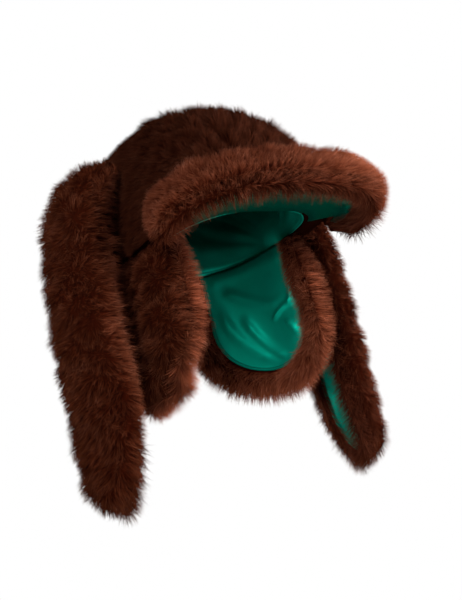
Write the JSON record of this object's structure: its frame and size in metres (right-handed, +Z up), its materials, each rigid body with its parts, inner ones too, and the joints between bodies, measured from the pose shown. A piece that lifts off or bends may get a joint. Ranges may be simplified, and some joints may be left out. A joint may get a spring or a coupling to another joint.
{
  "type": "faux fur trapper hat with long hanging ears",
  "caption": "Brown plush faux fur trapper hat with a peak, ear flaps, long floppy ears and green satin lining, shaped as worn.",
  "frame": {"origin": "middle of the head opening, in the plane of the rim", "axes": "+Z up out of the crown, -Y the way the wearer looks, +X the wearer's left"},
  "size_m": [0.4235, 0.341, 0.4293],
  "materials": {
    "brown_plush_fur": "deep plush faux fur pile, dark chocolate brown with lighter tips",
    "green_satin": "glossy emerald green satin, soft wrinkles"
  },
  "bodies": {
    "root": {"crown_centre_panel": "brown_plush_fur", "crown_lining": "green_satin", "crown_side_panel_left": "brown_plush_fur", "crown_side_panel_right": "brown_plush_fur", "ear_flap_left": "brown_plush_fur", "ear_flap_lining_left": "green_satin", "ear_flap_lining_right": "green_satin", "ear_flap_right": "brown_plush_fur", "long_ear_left": "brown_plush_fur", "long_ear_lining_left": "green_satin", "long_ear_lining_right": "green_satin", "long_ear_right": "brown_plush_fur", "peak": "brown_plush_fur", "peak_lining": "green_satin"}
  },
  "joints": []
}
